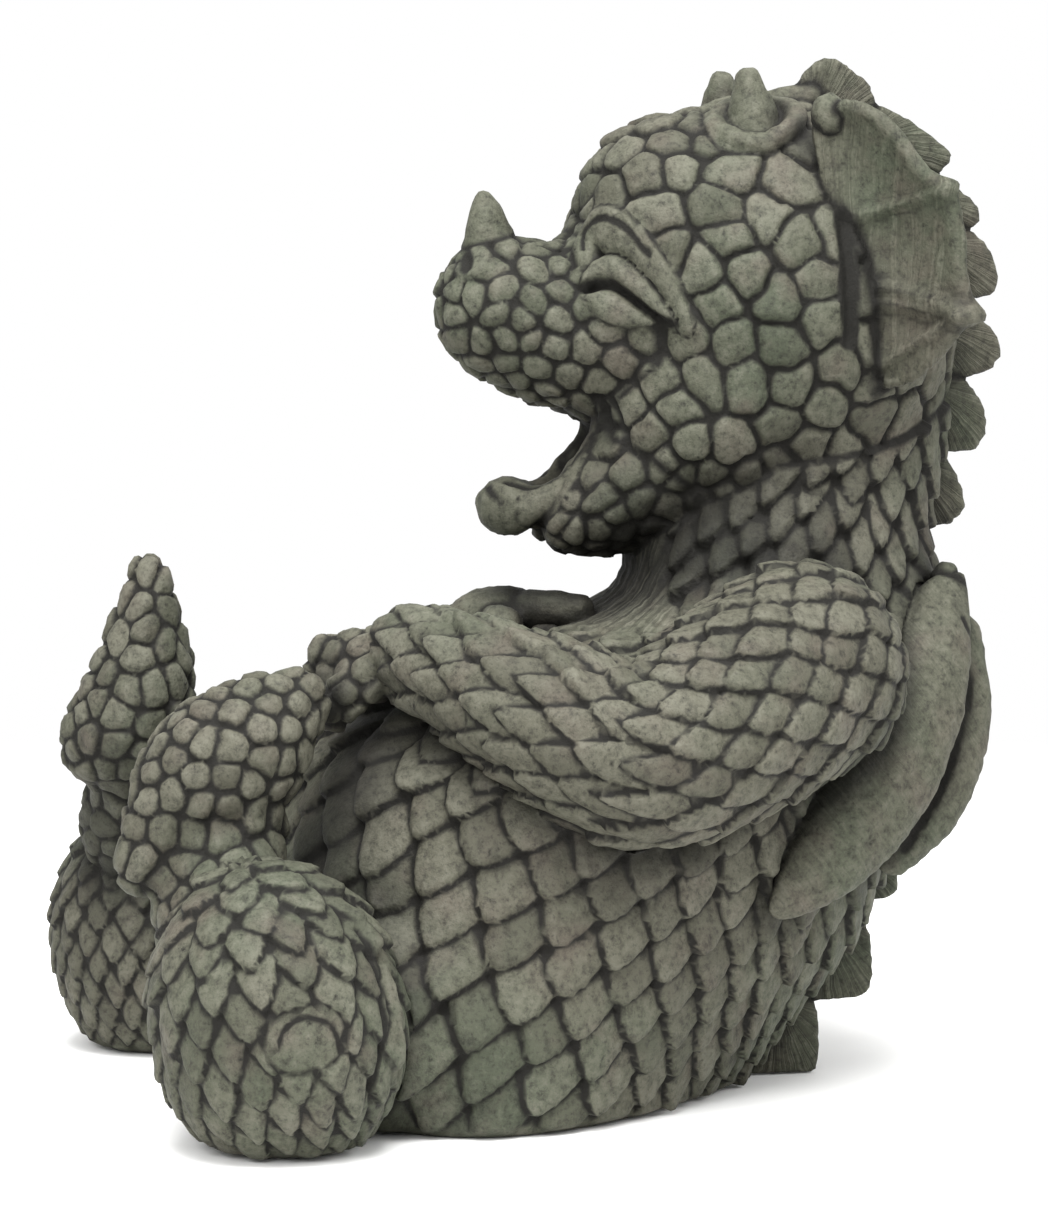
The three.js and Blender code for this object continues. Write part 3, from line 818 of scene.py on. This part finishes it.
# Lines cut into the skin (or raised, when the depth is below zero): points, half width, depth
pairedLines = [
    # over the brow, slit of the closed eye
    ([(15.6, 13.6, 226), (13.4, 14.6, 230.6), (16.4, 17, 234), (21, 20, 234.9), (25.8, 24, 231.8),
      (29.4, 28.7, 225.2)], 0.9, 0.9),
    ([(21.5, 12.6, 216.2), (22.8, 16.3, 217.6), (24.6, 20, 216.9), (27.2, 24.8, 213.2), (29.4, 29.8, 209.4),
      (31.6, 34, 207.2)], 1.15, 3.4),
    # nostril
    ([(11, -16.6, 227.4), (13.2, -14.2, 225.6), (13.9, -14, 222), (11.6, -16.4, 219.4),
      (8.6, -18.6, 219.8)], 1.2, -1.2),
    ([(6.8, -17.7, 224.8), (8.6, -17, 223), (9.6, -17.2, 221.4)], 1.9, 2.6),
    # corner of the mouth and the painted shadow under it, then the lip
    ([(16.5, 16.5, 187), (16.6, 18.5, 184.5), (15.6, 19.8, 181), (16.6, 20.3, 177.2)], 1.5, 2.6),
    ([(16.4, 20.3, 176.6), (13.5, 18.4, 175.4), (11.5, 16.4, 174.4)], 1.4, 1.6),
    ([(5.5, -5.6, 164), (8, -2.6, 163.4), (8.4, 2.6, 163.8), (8.2, 7, 167)], 1.3, 1.8),
    ([(12.6, 10, 164.4), (13.4, 7.6, 160.2), (11.2, 2.7, 153.1), (6, 1.5, 150)], 1.5, 2.2),
    ([(3.2, -10.5, 162.6), (6.6, -9.2, 160.4), (8.8, -7, 158.2)], 1.2, 1.0),
    # edge of the ear, then ridge and crease of the wing
    ([(40.6, 77.8, 235.5), (43, 78.8, 223), (44, 79.2, 211), (43.4, 79.3, 202)], 1.7, 2.6),
    ([(35.2, 110.9, 133), (48, 103.2, 113), (57.2, 91.2, 90.3), (64, 74.6, 70.3)], 1.9, -0.9),
    ([(37, 113.2, 127.9), (33.5, 115.2, 105.9), (38.5, 107.5, 85), (42.7, 95.4, 67)], 1.2, 0.9),
]
nearLines = [
    # knee, flank of the leg, and last the fold of the forearm
    ([(113.2, -83.8, 30.8), (113.8, -82.3, 36.3), (113.5, -76.8, 39.1), (112.5, -70.7, 36.7),
      (111.8, -68.1, 30.5)], 0.7, 0.5),
    ([(90, -63.3, 63.4), (91.2, -53.4, 49.4), (92.2, -49.8, 34.1), (89, -50.5, 18.3)], 1.3, 2.2),
    ([(98.2, -62.1, 57), (101.7, -57.9, 46.1), (104, -56.8, 33.8), (104.8, -60, 20.2)], 1.1, 1.8),
    ([(94.5, -62.6, 60.5), (96.8, -55.2, 48), (98.5, -52.8, 34), (97.5, -54.5, 19)], 1.5, -1.2),
    ([(58, -32, 131.6), (74.2, -20.7, 128.2), (84, -10.9, 125.1), (93.5, -3.8, 116.9)], 1.8, -1.2),
]

# Places darkened with painted shade, in recesses, under the head and arms and on the far side: middle, reach
# in mm, share
paintedShadePlaces = [
    ((0, 8, 124), 17, 0.7), ((42, -42, 82), 15, 1.0), ((0, 15, 172), 5, 0.6), ((1, 2, 165), 4, 0.7),
    ((20, 26, 146), 20, 0.7), ((32, 60, 146), 30, 0.6), ((-32, 60, 146), 30, 0.6), ((-60, -104, 85), 40, 0.3),
    ((0, 112, 140), 18, 0.4), ((60, 72, 108), 20, 0.7), ((-60, 72, 108), 20, 0.5), ((66, 12, 68), 22, 0.45),
    ((-58, -104, 60), 26, 0.4), ((-78, -94, 12), 30, 0.4), ((40, -60, 40), 24, 0.6),
    ((-40, -60, 40), 24, 0.5), ((15, 21, 180), 5, 0.6), ((-15, 21, 180), 5, 0.6), ((40, 78, 218), 14, 0.4), ((-40, 78, 218), 14, 0.4),
]


def strayFrom(points, rows, reach):
    # which points lie near a path, how far off, and the path's last column beside them
    near = within(points, rows[:, :3].min(0), rows[:, :3].max(0), reach)
    best, beside = np.full(len(near), farOff), np.ones(len(near))
    for start, end in zip(rows[:-1], rows[1:]):
        share, far = toStretch(points[near], start, end)
        beside = np.where(far < best, start[-1] + share * (end - start)[-1], beside)
        best = np.minimum(best, far)
    return near, best, beside


def bothSides(marks):
    return marks + [(mirrored(path), *rest) for path, *rest in marks]


armZones = ("nearArm", "farArm", "hand")
seamless = ("skull", "snout", "jaw", "body", "nearLeg", "farLeg", "foot", "arm")


def ownersOf(points):
    # the organ that each point belongs to, and how much further off the next kind of skin is
    nearest, second = np.full(len(points), 1e3), np.full(len(points), 1e3)
    owner = np.zeros(len(points), int)
    zones = np.array(["arm" if one["zone"] in armZones else one["zone"] for one in organs])
    for k, one in enumerate(organs):
        near = within(points, one["low"], one["high"], 8)
        if len(near) == 0:
            continue
        far = one["distance"](points[near])
        closer = far < nearest[near]
        kin = (zones[owner[near]] == zones[k]) & (zones[k] in seamless)
        other = np.where(closer, nearest[near], far)
        second[near] = np.minimum(second[near], np.where(kin, 1e3, other))
        nearest[near] = np.where(closer, far, nearest[near])
        owner[near[closer]] = k
    return owner, second - nearest


def fanSkin(points, side):
    # ribs with painted shade along both their sides, hollow cells between them and a raised rim, and the fan
    # painted darker near its root
    t, u = fanPlaces(points, side)
    height, sunk = np.zeros(len(points)), np.zeros(len(points))
    edges = []
    for root, rim in fanShape["ribs"]:
        sway = (t - root - (rim - root) * u) / fanShape["ribWidth"]
        height += fanShape["ribRise"] * np.exp(-sway ** 2)
        sunk = np.maximum(sunk, 0.6 * np.exp(-((np.abs(sway) - 1.9) / 0.7) ** 2))
        edges.append(root + (rim - root) * u)
    edges = np.sort(np.stack([np.zeros(len(t))] + edges + [np.ones(len(t))], 1), axis=1)
    for k in range(edges.shape[1] - 1):
        share = unit((t - edges[:, k]) / (edges[:, k + 1] - edges[:, k] + 1e-6))
        height -= fanShape["cellDepth"] * np.sin(np.pi * share) * unit(2.2 * (1 - u))
    rim = np.exp(-((u - 0.98) / 0.045) ** 2)
    height += fanShape["rimRise"] * rim
    sunk = np.maximum(sunk, 0.9 * unit(1 - u / fanShape["rootDarkened"]) * unit((t - 0.2) / 0.15))
    combed = 0.5 * unit(1 - rim + 0.4 * ripple(points, 12, 42))
    return height, sunk, np.full(len(points), -0.25), points[:, 1] + 0.5 * ripple(points, 20, 41), combed


def toothSkin(points, index):
    # strokes that spread from a place inside the body, nearer to the tooth's start than to its end
    _, a, b, out = list(crestTeeth())[index]
    flat = points[:, 1:] - (a * 0.8 + b * 0.2 - crestShape["sink"] * out)
    ahead = (b - a) / np.linalg.norm(b - a)
    fanned = np.arctan2(flat @ ahead, flat @ out) * 17
    strokes = np.sin(fanned * crestShape["strokes"] + 1.2 * ripple(points, 9, 51))
    plain = np.full(len(points), -0.3)
    height, sunk = crestShape["strokeDepth"] * strokes, unit(0.25 - 0.25 * strokes)
    return height, sunk, plain, fanned, np.ones(len(points))


def carve(points, normals, owner, margin):
    height, sunk, tone, across, combed = (np.zeros(len(points)) for _ in range(5))
    zones = np.array([one["zone"] for one in organs])[owner]
    names = np.array([one["name"] for one in organs])[owner]
    wobble = carving["wobble"]

    def inside(*wanted):
        return np.flatnonzero(np.isin(zones, wanted))

    def put(chosen, made):
        height[chosen], sunk[chosen], tone[chosen] = made[:3]
        if len(made) > 3:
            across[chosen], combed[chosen] = made[3:]

    # the head's plates are large on the skull and small on the snout and jaw
    chosen = inside("skull", "snout", "jaw")
    p, plate = points[chosen], headShape["plate"]
    inward = np.ones(len(p))
    for axis, (first, over) in zip((1, 2), headShape["platesGrow"]):
        inward *= unit((p[:, axis] - first) / over)
    sizes = plate["snout"] + (plate["skull"] - plate["snout"]) * inward
    put(chosen, plateSkin(p, sizes * (1 + plate["spread"] * np.clip(ripple(p, 24, 12), -1.2, 1.2)), 11))
    for zone, size, seed in (("hand", armShape["plate"], 21), ("foot", legShape["plate"], 22)):
        chosen = inside(zone)
        put(chosen, plateSkin(points[chosen], np.full(len(chosen), size), seed))
    print("plates carved")

    chosen = inside("body")
    p = points[chosen]
    t, turn, radius = aroundBody(p, normals[chosen])
    t = t + wobble * ripple(p, 34, 31)
    turn = turn + wobble * ripple(p, 34, 32) / (2 * np.pi * np.maximum(radius, 12))
    neck = p[:, 2] > bodyShape["neckFrom"] + 3 * ripple(p, 20, 35)
    for part, size, seed in ((~neck, bodyShape["bodyScale"], 1), (neck, bodyShape["neckScale"], 6)):
        put(chosen[part], scaleSkin(t[part], turn[part], radius[part], size, seed))
    (before, above), fade = bodyShape["throat"], bodyShape["throatFade"]
    throat = unit((before - p[:, 1]) / fade) * unit((p[:, 2] - above) / fade)
    strokes = turn * bodyShape["combStrokes"]
    combing = bodyShape["throatRise"] + bodyShape["combDepth"] * np.sin(strokes)
    height[chosen] = height[chosen] * (1 - throat) + throat * combing
    sunk[chosen] = sunk[chosen] * (1 - throat) + 0.2 * throat
    across[chosen], combed[chosen] = strokes, throat

    arm, leg = armShape, legShape
    for zone, layOut, form, size, seed, length, drift in (
        ("nearArm", alongLimb, arm["near"], arm["scale"], 2, 26, 33),
        ("farArm", alongLimb, arm["far"], arm["scale"], 3, 26, 33),
        ("nearLeg", aroundEgg, leg["near"], leg["scale"], 4, 22, 34),
        ("farLeg", aroundEgg, leg["far"], leg["farScale"], 5, 22, 34),
    ):
        chosen = inside(zone)
        t, turn, radius = layOut(points[chosen], form)
        t = t + wobble * carving["limbWobble"] * ripple(points[chosen], length, drift)
        put(chosen, scaleSkin(t, turn, radius, size, seed))
    print("body, arms and legs scaled")

    for side, zone in ((1, "fanLeft"), (-1, "fanRight")):
        chosen = inside(zone)
        put(chosen, fanSkin(points[chosen], side))
    for k in range(len(crestShape["teeth"])):
        chosen = np.flatnonzero(names == "tooth%d" % k)
        put(chosen, toothSkin(points[chosen], k))
    chosen = inside("wing", "smooth")
    soft = ripple(points[chosen], 11, 61)
    put(chosen, (0.25 * soft, 0.1 - 0.1 * soft, np.full(len(chosen), -0.05)))
    chosen = inside("wing")
    across[chosen], combed[chosen] = points[chosen, 1] * 0.8 + points[chosen, 2] * 0.55, 0.25

    # where two kinds of skin meet the skin is cut in a groove, painted dark as dirt and painted shade
    seam = unit(1 - margin / carving["seamWidth"])
    height -= carving["seamDepth"] * seam ** 2
    sunk = np.maximum(sunk, 0.9 * seam)
    for rows, rise in bothSides(pairedPads) + nearPads:
        rows = smoothRows(rows, 6)
        near, far, half = strayFrom(points, rows, rows[:, 3].max() + 3)
        cover = unit((half + carving["padEdge"] - far) / carving["padEdge"])
        height[near] += cover * (rise * np.sqrt(unit(1 - (far / half) ** 2)) - height[near])
        # a dark line round each pad, painted as dirt and painted shade
        sunk[near] += cover * (0.95 * unit(1 - np.abs(far - half) / carving["padLine"]) - sunk[near])
        tone[near] += cover * (0.2 - tone[near])
    for path, width, depth in bothSides(pairedLines) + nearLines:
        near, far, _ = strayFrom(points, smoothRows(path, 5), 4 * width)
        share = np.exp(-(far / width) ** 2)
        height[near] -= depth * share
        # cut lines are painted dark as dirt and painted shade; the cut under the mouth's corner is painted
        # shadow
        dirtAndShade = np.maximum(sunk[near], unit(1.3 - far / (1.6 * width)))
        sunk[near] = dirtAndShade if depth > 0 else sunk[near] * (1 - share)
    height += 0.12 * ripple(points, 4.5, 71) + 0.1 * ripple(points, 2.6, 72)
    return height, sunk, tone, across, combed


def softened(values, quads, share):
    # each corner takes part of the mean of the faces round it, so that steep edges stay clean
    corners, faces = quads.ravel(), np.repeat(values[quads].mean(1), 4)
    total, count = np.bincount(corners, faces, len(values)), np.bincount(corners, minlength=len(values))
    return values + share * (total / np.maximum(count, 1) - values)


def meshFrom(name, points, quads):
    mesh = bpy.data.meshes.new(name)
    mesh.vertices.add(len(points))
    mesh.vertices.foreach_set("co", (points / 1000).astype(np.float32).ravel())
    mesh.loops.add(len(quads) * 4)
    mesh.loops.foreach_set("vertex_index", quads.astype(np.int32).ravel())
    mesh.polygons.add(len(quads))
    mesh.polygons.foreach_set("loop_start", np.arange(0, len(quads) * 4, 4, dtype=np.int32))
    mesh.update()
    mesh.validate()
    return mesh


def fewerFaces(piece):
    bpy.context.view_layer.objects.active = piece
    triangles = sum(len(face.vertices) - 2 for face in piece.data.polygons)
    if triangles > mostTriangles:
        reducer = piece.modifiers.new("fewerFaces", "DECIMATE")
        reducer.ratio = mostTriangles / triangles
        bpy.ops.object.modifier_apply(modifier="fewerFaces")
    piece.data.polygons.foreach_set("use_smooth", np.ones(len(piece.data.polygons), bool))


def makeDragon():
    layOutOrgans()
    points, quads, grid = stretchSurface()
    print("surface stretched over", len(points), "points")
    normals = cornerNormals(points, quads)
    owner, margin = ownersOf(points)
    height, sunk, tone, across, combed = carve(points, normals, owner, margin)
    height, sunk = softened(height, quads, carving["softHeight"]), softened(sunk, quads, carving["softSunk"])
    foot = unit((points[:, 2] - 0.4) / 2.5)  # the underside stays flat
    foot[normals[:, 2] < -0.97] *= 0.2
    carved = points + normals * (height * foot)[:, None]
    carved[:, 2] = np.maximum(carved[:, 2], 0)
    # painted shade: darker where other parts of the dragon stand close in front of the skin, and round the
    # listed places
    paintedShade = np.zeros(len(points))
    for reach in (7.0, 16.0):  # mm out from the skin, where other parts may stand in the way
        free = readGrid(grid, points + normals * reach) / reach
        paintedShade += 0.5 * unit(1 - free)
    for middle, reach, share in paintedShadePlaces:
        paintedShade += share * np.exp(-((points - np.array(middle)) ** 2).sum(1) / reach ** 2)
    mesh = meshFrom("dragonSkin", carved, quads)
    marks = {"sunk": sunk * foot, "tone": tone, "paintedShade": paintedShade, "across": across, "combed": combed}
    for name, values in marks.items():
        mesh.attributes.new(name, "FLOAT", "POINT").data.foreach_set("value", values.astype(np.float32))
    piece = bpy.data.objects.new("dragonSkin", mesh)
    bpy.context.scene.collection.objects.link(piece)
    fewerFaces(piece)
    print("dragon carved,", len(piece.data.polygons), "faces")
    return piece


# Stone. Socket wraps a node's output so that shader sums read as plain expressions

class Socket:
    def __init__(self, tree, link):
        self.tree, self.link = tree, link

    def node(self, kind, settings=None, out=0, **values):
        # a socket is given by its name, or by i and its number
        made = self.tree.nodes.new("ShaderNode" + kind)
        for name, value in (settings or {}).items():
            setattr(made, name, value)
        for name, value in values.items():
            socket = made.inputs[int(name[1:]) if name[1:].isdigit() else name]
            if isinstance(value, Socket):
                self.tree.links.new(value.link, socket)
            else:
                socket.default_value = value
        return Socket(self.tree, made.outputs[out])

    def sum(self, operation, other, swapped=False):
        first, second = (other, self) if swapped else (self, other)
        return self.node("Math", {"operation": operation}, i0=first, i1=second)

    def __add__(self, other):
        return self.sum("ADD", other)

    def __radd__(self, other):
        return self.sum("ADD", other, True)

    def __sub__(self, other):
        return self.sum("SUBTRACT", other)

    def __rsub__(self, other):
        return self.sum("SUBTRACT", other, True)

    def __mul__(self, other):
        return self.sum("MULTIPLY", other)

    def __rmul__(self, other):
        return self.sum("MULTIPLY", other, True)

    def clipped(self, low=0.0, high=1.0):
        return self.node("Clamp", Value=self, Min=low, Max=high)

    def between(self, low, high):
        return self.node("MapRange", Value=self, **{"From Min": low, "From Max": high})


stoneLook = {
    "bare": (0.067, 0.065, 0.047),
    "green": (0.051, 0.058, 0.038),
    "brown": (0.069, 0.056, 0.044),
    # the dark colour of dirt and of painted shade
    "dirtAndShade": (0.006, 0.0055, 0.0045),
    # the light colour of dust, wear and painted highlight
    "dustAndHighlight": (0.128, 0.125, 0.098),
    "roughness": 0.80,
    "handled": 0.16,        # how much smoother the handled high places are
    "specular": 0.22,
    "grain": 0.0007,        # metres, depth of the fine grain
    "grainStrength": 0.6,
    # noise, in waves to a metre
    "patches": 16.0,
    "blotches": 70.0,
    "pits": 330.0,
    "speckle": 900.0,
    "grit": 1300.0,
    "strokes": 0.8,         # waves to a millimetre across combed skin
}


def mixed(share, one, two):
    return share.node("Mix", {"data_type": "RGBA"}, out=2, i0=share, i6=one, i7=two)


def stoneMaterial():
    material = bpy.data.materials.new("weatheredStone")
    material.use_nodes = True
    tree = material.node_tree
    shader = tree.nodes["Principled BSDF"]
    start = Socket(tree, None)
    place = start.node("TexCoord", out=3)

    def noise(name, detail=3.0, rough=0.55):
        return start.node("TexNoise", Vector=place, Scale=stoneLook[name], Detail=detail, Roughness=rough)

    def stored(name):
        return start.node("Attribute", {"attribute_name": name}, out=2)

    colours = {name: (*stoneLook[name], 1) for name in ("bare", "green", "brown", "dirtAndShade", "dustAndHighlight")}
    sunk, tone, paintedShade, combed = (stored(name) for name in ("sunk", "tone", "paintedShade", "combed"))
    patches, blotches = noise("patches"), noise("blotches")
    pits, speckle = noise("pits", 4.0, 0.7), noise("speckle", 2.0)
    strokes = {"W": stored("across"), "Scale": stoneLook["strokes"], "Detail": 3.0, "Roughness": 0.7}
    strokes = start.node("TexNoise", {"noise_dimensions": "1D"}, **strokes)
    strokes = (strokes.between(0.35, 0.65) - 0.5) * combed
    # bare stone with green growth and brown stains, and dust, wear and a painted highlight on what stands out
    colour = mixed(patches.between(0.42, 0.66), colours["bare"], colours["green"])
    colour = mixed(blotches.between(0.5, 0.72) * 0.6, colour, colours["brown"])
    pointed = start.node("NewGeometry", out=7)
    wornAndHighlight = pointed.between(0.5, 0.6) * (1 - paintedShade) * (0.35 + 0.5 * blotches)
    light = wornAndHighlight * 0.5 + tone * 0.35 + pits.between(0.5, 0.72) * 0.4 + strokes * 0.5
    colour = mixed(light.clipped(0, 0.8), colour, colours["dustAndHighlight"])
    # dirt and painted shade as lines in the grooves, mostly painted shade as a veil in sheltered places, and
    # dirt as crumbs
    line = sunk.between(0.4, 0.74) * (0.85 + 0.3 * blotches)
    veil = sunk * 0.22 + paintedShade.between(0.2, 0.95) * 0.8 - tone * 0.25 - strokes * 0.5
    crumbs = speckle.between(0.55, 0.7) * 0.35 + pits.between(0.5, 0.3) * 0.6
    dirtAndShadeShare = 1 - (1 - line.clipped()) * (1 - veil.clipped(0, 0.92)) * (1 - crumbs.clipped())
    colour = mixed(dirtAndShadeShare.clipped(0, 0.97), colour, colours["dirtAndShade"])
    tree.links.new(colour.link, shader.inputs["Base Color"])
    rough = stoneLook["roughness"] + 0.12 * sunk - stoneLook["handled"] * blotches
    tree.links.new(rough.clipped(0.3, 1).link, shader.inputs["Roughness"])
    shader.inputs["Specular IOR Level"].default_value = stoneLook["specular"]
    grain = pits + 0.45 * noise("grit", 2.0) + 0.9 * strokes
    bump = start.node("Bump", Strength=stoneLook["grainStrength"], Distance=stoneLook["grain"], Height=grain)
    tree.links.new(bump.link, shader.inputs["Normal"])
    return material


# Camera, floor and light

view = {
    "azimuth": 79.0,       # degrees round from the front, towards the dragon's left
    "distance": 1.3,       # metres from the middle, along the floor
    "height": 0.24,
    "pitch": 4.9,          # degrees down
    "frameHeight": 36.0,   # mm
    "lens": 141.6,
}


def placeCamera():
    lens = bpy.data.cameras.new("camera")
    lens.sensor_fit = "VERTICAL"
    lens.sensor_height = view["frameHeight"]
    lens.lens = view["lens"]
    camera = bpy.data.objects.new("camera", lens)
    bpy.context.scene.collection.objects.link(camera)
    bpy.context.scene.camera = camera
    a, p = np.radians(view["azimuth"]), np.radians(view["pitch"])
    ahead = Vector((-np.sin(a) * np.cos(p), np.cos(a) * np.cos(p), -np.sin(p)))
    camera.location = (np.sin(a) * view["distance"], -np.cos(a) * view["distance"], view["height"])
    camera.rotation_euler = ahead.to_track_quat("-Z", "Y").to_euler()
    lens.clip_end = 50


floorLook = {
    "radius": 0.9,
    "fade": (0.25, 0.855),  # metres from the middle over which it clears
    "below": 0.0004,
    "colour": (0.88, 0.88, 0.87),
    "roughness": 0.9,
}


def layFloor():
    spokes, rings = 96, 24
    points, faces = [(0, 0, 0)], []
    for ring in range(1, rings + 1):
        for spoke in range(spokes):
            angle = 2 * np.pi * spoke / spokes
            radius = floorLook["radius"] * ring / rings
            points.append((radius * np.cos(angle), radius * np.sin(angle), 0))
    for spoke in range(spokes):
        follow = (spoke + 1) % spokes
        faces.append((0, 1 + spoke, 1 + follow))
        for ring in range(rings - 1):
            a, b = 1 + ring * spokes, 1 + (ring + 1) * spokes
            faces.append((a + spoke, b + spoke, b + follow, a + follow))
    mesh = bpy.data.meshes.new("floor")
    mesh.from_pydata(points, [], faces)
    floor = bpy.data.objects.new("floor", mesh)
    bpy.context.scene.collection.objects.link(floor)
    floor.location = (0, 0, -floorLook["below"])
    material = bpy.data.materials.new("paleFloor")
    material.use_nodes = True
    tree = material.node_tree
    shader = tree.nodes["Principled BSDF"]
    shader.inputs["Base Color"].default_value = (*floorLook["colour"], 1)
    shader.inputs["Roughness"].default_value = floorLook["roughness"]
    start = Socket(tree, None)
    reach = start.node("VectorMath", {"operation": "LENGTH"}, out=1, i0=start.node("TexCoord", out=3))
    solid, clear = Socket(tree, shader.outputs[0]), start.node("BsdfTransparent")
    fade = start.node("MixShader", i0=reach.between(*floorLook["fade"]), i1=solid, i2=clear)
    tree.links.new(fade.link, tree.nodes["Material Output"].inputs["Surface"])
    mesh.materials.append(material)


lights = {
    # place in metres, size across, watts
    "over": ((0.5, -0.1, 1.4), 0.9, 42),
    "front": ((1.4, -0.8, 1.0), 0.8, 22),
    "back": ((0.5, 1.3, 1.0), 0.8, 9),
}
worldLight = 1.0
lightsAimAt = (0, 0, 0.13)


def placeLights():
    for name, (place, size, power) in lights.items():
        lamp = bpy.data.lights.new(name, "AREA")
        lamp.size, lamp.energy = size, power
        light = bpy.data.objects.new(name, lamp)
        bpy.context.scene.collection.objects.link(light)
        light.location = place
        light.rotation_euler = (Vector(lightsAimAt) - light.location).to_track_quat("-Z", "Y").to_euler()
    world = bpy.data.worlds.new("studio")
    world.use_nodes = True
    world.node_tree.nodes["Background"].inputs["Color"].default_value = (1, 1, 1, 1)
    world.node_tree.nodes["Background"].inputs["Strength"].default_value = worldLight
    bpy.context.scene.world = world
    bpy.context.scene.view_settings.view_transform = "Standard"


placeCamera()
layFloor()
placeLights()
print("camera, floor and lights placed")

dragon = makeDragon()
dragon.data.materials.append(stoneMaterial())
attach(dragon, "root")
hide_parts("dragon")
print("stone finished")
